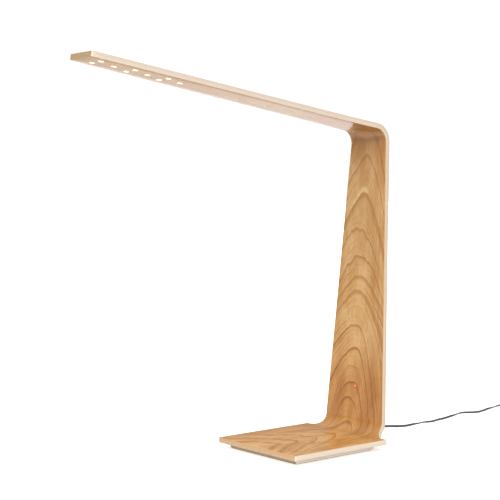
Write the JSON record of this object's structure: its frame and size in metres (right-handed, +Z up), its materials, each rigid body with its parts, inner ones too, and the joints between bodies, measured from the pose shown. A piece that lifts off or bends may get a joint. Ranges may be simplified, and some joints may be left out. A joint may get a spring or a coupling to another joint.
{
  "type": "desk lamp",
  "caption": "Desk lamp bent from an oak-faced plywood ribbon: flat weighted base, leaning stem and long light arm, with a lit push button and a plug-in adapter.",
  "frame": {"origin": "centre of the face that the lamp stands on, under the middle of the flat base", "axes": "+Z up, the light arm points to -X, +Y across the lamp"},
  "size_m": [0.8372, 0.1835, 0.4685],
  "materials": {
    "oak_veneer": "satin lacquered oak veneer",
    "ply": "pale birch ply with cut edges",
    "weight_steel": "satin light grey paint",
    "felt_pad": "dark felt",
    "screw_steel": "zinc plated",
    "light_board": "white solder mask",
    "light_chip": "yellow phosphor",
    "lens": "milky diffuser",
    "copper": "bare copper tape",
    "circuit_board": "green solder mask",
    "chip_black": "moulded black",
    "indicator": "red light",
    "white_plastic": "moulded white",
    "button_red": "translucent red",
    "light_pipe": "clear, lit from behind",
    "black_rubber": "soft black",
    "wire": "insulated",
    "cord": "slate grey, flat twin lead",
    "tie_strap": "woven hook strap",
    "adapter_plastic": "fine moulded grain",
    "pin_metal": "nickel plated",
    "transformer_tape": "yellow tape over ferrite",
    "capacitor_can": "sleeved can"
  },
  "bodies": {
    "lamp": {"inner_veneer": "oak_veneer", "inner_ply": "ply", "core_ply": "ply", "outer_ply": "ply", "outer_veneer": "oak_veneer", "weight_plate": "weight_steel", "base_pad": "felt_pad", "plate_screws": "screw_steel", "led_board": "light_board", "led_chips": "light_chip", "lens_discs": "lens", "supply_tape_positive": "copper", "supply_tape_negative": "copper", "control_board": "circuit_board", "dimmer_chip": "chip_black", "power_inductor": "chip_black", "indicator_led": "indicator", "tact_switch": "chip_black", "cord_gland": "black_rubber", "lead_wires": "wire", "cord_lead": "cord", "cord_coil": "cord", "cord_tie": "tie_strap", "adapter_relief": "black_rubber", "adapter_back_shell": "adapter_plastic", "adapter_front_shell": "adapter_plastic", "adapter_pins": "pin_metal", "adapter_board": "circuit_board", "adapter_transformer": "transformer_tape", "adapter_capacitor": "capacitor_can"},
    "button": {"switch_button": "button_red", "button_light_pipe": "light_pipe", "switch_plunger": "white_plastic"}
  },
  "joints": [
    {"name": "button_press", "type": "slide", "parent": "lamp", "child": "button", "axis": [0.9975, 0, -0.0706], "range_m": [0, 0.00025], "stiffness_N_per_m": 600}
  ]
}
